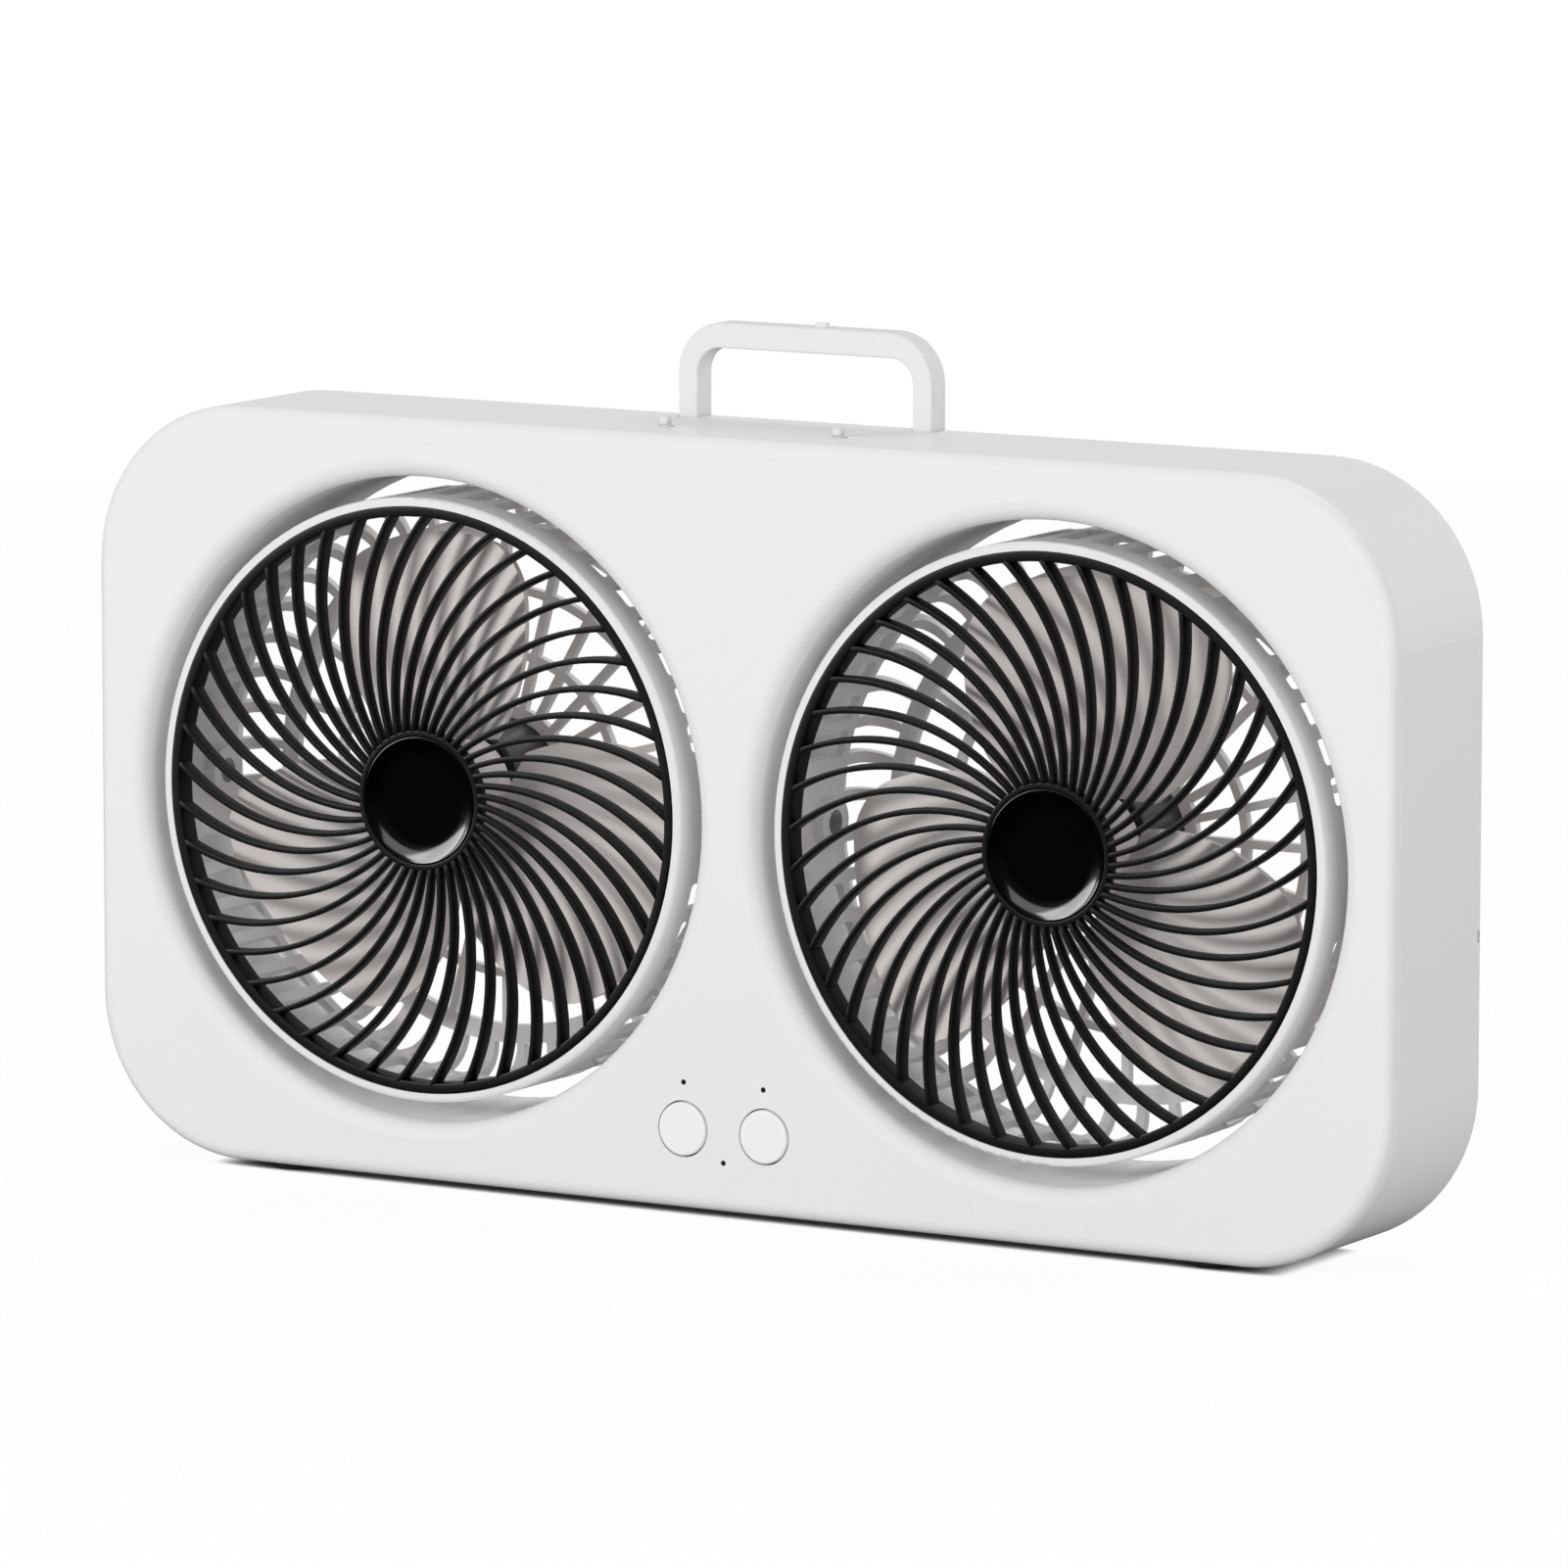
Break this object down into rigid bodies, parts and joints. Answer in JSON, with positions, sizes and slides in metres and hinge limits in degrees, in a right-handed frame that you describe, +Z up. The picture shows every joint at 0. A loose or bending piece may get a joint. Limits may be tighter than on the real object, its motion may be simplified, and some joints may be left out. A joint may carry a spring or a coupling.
{
  "type": "dual-head desk fan",
  "caption": "Upright rounded-rectangle desk fan with tilting round fan heads side by side, curved-bar grilles, push buttons, slide switches and a fold-down carry handle.",
  "frame": {"origin": "middle of the base, on the plane that the feet stand on", "axes": "+X to the right as seen from the front, +Y to the back, +Z up"},
  "size_m": [0.35, 0.044, 0.2072],
  "materials": {
    "housing_white": "satin white",
    "handle_white": "satin white",
    "button_white": "satin white",
    "knob_white": "satin pale grey",
    "basket_white": "satin warm white",
    "grille_black": "satin black",
    "cap_gloss": "gloss black",
    "blade_pale": "satin pale pinkish grey",
    "foot_rubber": "matt black",
    "light_clear": "clear, unlit",
    "steel": "plain",
    "motor_steel": "dark plated",
    "armature_iron": "plain",
    "magnet_grey": "sintered",
    "bearing_brass": "sintered",
    "bush_plastic": "self-lubricating",
    "inner_black": "moulded",
    "switch_black": "moulded",
    "switch_pale": "moulded",
    "board_green": "solder mask",
    "cell_wrap": "shrink wrap"
  },
  "bodies": {
    "casing": {"front_shell": "housing_white", "rear_cover": "housing_white", "cover_screws": "steel", "feet": "foot_rubber", "button_switches": "switch_black", "light_pipes": "light_clear", "control_board": "board_green", "board_screws": "steel", "battery_cell": "cell_wrap", "battery_cradle": "inner_black", "charge_socket": "steel", "charge_board": "board_green", "charge_posts": "inner_black", "slide_switch_bodies": "switch_pale", "left_pivot_bushes": "bush_plastic", "right_pivot_bushes": "bush_plastic"},
    "carry_handle": {"handle": "handle_white", "handle_pins": "steel"},
    "left_press": {"left_button": "button_white"},
    "right_press": {"right_button": "button_white"},
    "left_slider": {"left_slide_knob": "knob_white"},
    "right_slider": {"right_slide_knob": "knob_white"},
    "left_head": {"left_guard_basket": "basket_white", "left_rear_lattice": "basket_white", "left_front_grille": "grille_black", "left_hub_cap": "cap_gloss", "left_motor_can": "motor_steel", "left_motor_end_cap": "inner_black", "left_motor_bearings": "bearing_brass", "left_motor_magnets": "magnet_grey", "left_motor_screws": "steel", "left_pivot_pins": "steel"},
    "left_fan": {"left_rotor": "blade_pale", "left_motor_armature": "armature_iron", "left_motor_shaft": "steel", "left_shaft_nut": "steel"},
    "right_head": {"right_guard_basket": "basket_white", "right_rear_lattice": "basket_white", "right_front_grille": "grille_black", "right_hub_cap": "cap_gloss", "right_motor_can": "motor_steel", "right_motor_end_cap": "inner_black", "right_motor_bearings": "bearing_brass", "right_motor_magnets": "magnet_grey", "right_motor_screws": "steel", "right_pivot_pins": "steel"},
    "right_fan": {"right_rotor": "blade_pale", "right_motor_armature": "armature_iron", "right_motor_shaft": "steel", "right_shaft_nut": "steel"}
  },
  "joints": [
    {"name": "left_tilt", "type": "hinge", "parent": "casing", "child": "left_head", "pos_m": [-0.0847, 0, 0.0925], "axis": [1, 0, 0], "range_deg": [-60, 60]},
    {"name": "left_spin", "type": "hinge", "parent": "left_head", "child": "left_fan", "pos_m": [-0.0847, 0, 0.0925], "axis": [0, 1, 0], "continuous": true},
    {"name": "right_tilt", "type": "hinge", "parent": "casing", "child": "right_head", "pos_m": [0.0847, 0, 0.0925], "axis": [1, 0, 0], "range_deg": [-60, 60]},
    {"name": "right_spin", "type": "hinge", "parent": "right_head", "child": "right_fan", "pos_m": [0.0847, 0, 0.0925], "axis": [0, 1, 0], "continuous": true},
    {"name": "left_push", "type": "slide", "parent": "casing", "child": "left_press", "axis": [0, 1, 0], "range_m": [0, 0.0012], "stiffness_N_per_m": 900, "springref_m": -0.0004},
    {"name": "right_push", "type": "slide", "parent": "casing", "child": "right_press", "axis": [0, 1, 0], "range_m": [0, 0.0012], "stiffness_N_per_m": 900, "springref_m": -0.0004},
    {"name": "left_switch", "type": "slide", "parent": "casing", "child": "left_slider", "axis": [1, 0, 0], "range_m": [0, 0.006]},
    {"name": "right_switch", "type": "slide", "parent": "casing", "child": "right_slider", "axis": [1, 0, 0], "range_m": [0, 0.006]},
    {"name": "handle_fold", "type": "hinge", "parent": "casing", "child": "carry_handle", "pos_m": [0, 0.0185, 0.18], "axis": [-1, 0, 0], "range_deg": [0, 180]}
  ]
}
